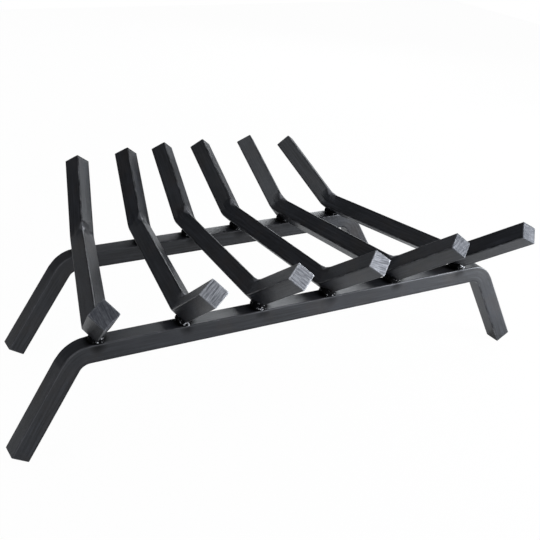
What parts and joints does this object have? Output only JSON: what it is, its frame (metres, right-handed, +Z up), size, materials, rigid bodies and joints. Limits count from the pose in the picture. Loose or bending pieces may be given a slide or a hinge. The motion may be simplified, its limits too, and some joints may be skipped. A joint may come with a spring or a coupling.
{
  "type": "log grate",
  "caption": "Fireplace log grate of square steel bar: two rails with splayed legs carry a fan of log bars laid on edge, turned up at front and back and welded on.",
  "frame": {"origin": "on the hearth, under the middle of the grate's footprint", "axes": "+X along the rails, +Y to the back of the fire, +Z up"},
  "size_m": [0.6152, 0.3924, 0.1978],
  "materials": {
    "blackened_steel": "satin charcoal black over rolled bar, sawn ends nearly bare",
    "weld_metal": "rippled hand-laid bead, scorched, with bright spatter"
  },
  "bodies": {
    "root": {"front_rail": "blackened_steel", "rear_rail": "blackened_steel", "log_bar_1": "blackened_steel", "log_bar_2": "blackened_steel", "log_bar_3": "blackened_steel", "log_bar_4": "blackened_steel", "log_bar_5": "blackened_steel", "log_bar_6": "blackened_steel", "weld_front_1_left": "weld_metal", "weld_front_1_right": "weld_metal", "weld_rear_1_left": "weld_metal", "weld_rear_1_right": "weld_metal", "weld_front_2_left": "weld_metal", "weld_front_2_right": "weld_metal", "weld_rear_2_left": "weld_metal", "weld_rear_2_right": "weld_metal", "weld_front_3_left": "weld_metal", "weld_front_3_right": "weld_metal", "weld_rear_3_left": "weld_metal", "weld_rear_3_right": "weld_metal", "weld_front_4_left": "weld_metal", "weld_front_4_right": "weld_metal", "weld_rear_4_left": "weld_metal", "weld_rear_4_right": "weld_metal", "weld_front_5_left": "weld_metal", "weld_front_5_right": "weld_metal", "weld_rear_5_left": "weld_metal", "weld_rear_5_right": "weld_metal", "weld_front_6_left": "weld_metal", "weld_front_6_right": "weld_metal", "weld_rear_6_left": "weld_metal", "weld_rear_6_right": "weld_metal"}
  },
  "joints": []
}
